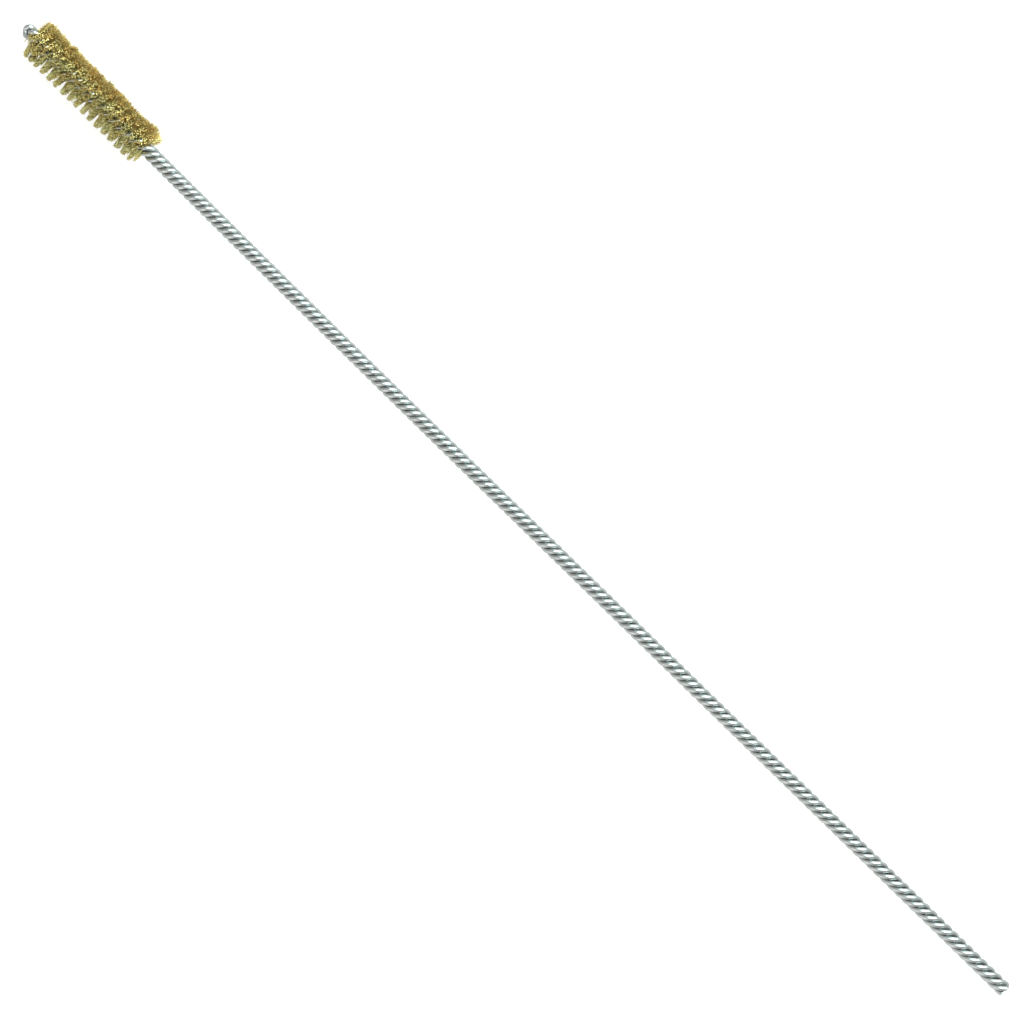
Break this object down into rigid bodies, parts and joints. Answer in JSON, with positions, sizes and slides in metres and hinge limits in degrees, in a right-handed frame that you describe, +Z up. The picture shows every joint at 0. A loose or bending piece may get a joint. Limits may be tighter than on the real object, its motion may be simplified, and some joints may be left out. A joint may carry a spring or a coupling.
{
  "type": "twisted-wire brass cleaning brush",
  "caption": "Slim tube brush: twisted steel wires bent into loops at the tip, a helical head of crossed brass filaments and a long bare twisted stem cut square at the end.",
  "frame": {"origin": "on the axis of the twisted stem, at the plane of its cut end", "axes": "+X along the stem towards the bristles and the looped tip, +Z up, +Y across"},
  "size_m": [0.1524, 0.0048, 0.0048],
  "materials": {
    "steel_wire": "bright galvanised, drawn and twisted",
    "brass_filament": "bright drawn wire with cut ends"
  },
  "bodies": {
    "root": {"outer_wire": "steel_wire", "inner_wire": "steel_wire", "tuft_a_01": "brass_filament", "tuft_a_02": "brass_filament", "tuft_a_03": "brass_filament", "tuft_a_04": "brass_filament", "tuft_a_05": "brass_filament", "tuft_a_06": "brass_filament", "tuft_a_07": "brass_filament", "tuft_a_08": "brass_filament", "tuft_a_09": "brass_filament", "tuft_a_10": "brass_filament", "tuft_a_11": "brass_filament", "tuft_a_12": "brass_filament", "tuft_a_13": "brass_filament", "tuft_a_14": "brass_filament", "tuft_a_15": "brass_filament", "tuft_a_16": "brass_filament", "tuft_a_17": "brass_filament", "tuft_b_01": "brass_filament", "tuft_b_02": "brass_filament", "tuft_b_03": "brass_filament", "tuft_b_04": "brass_filament", "tuft_b_05": "brass_filament", "tuft_b_06": "brass_filament", "tuft_b_07": "brass_filament", "tuft_b_08": "brass_filament", "tuft_b_09": "brass_filament", "tuft_b_10": "brass_filament", "tuft_b_11": "brass_filament", "tuft_b_12": "brass_filament", "tuft_b_13": "brass_filament", "tuft_b_14": "brass_filament", "tuft_b_15": "brass_filament", "tuft_b_16": "brass_filament", "tuft_b_17": "brass_filament"}
  },
  "joints": []
}
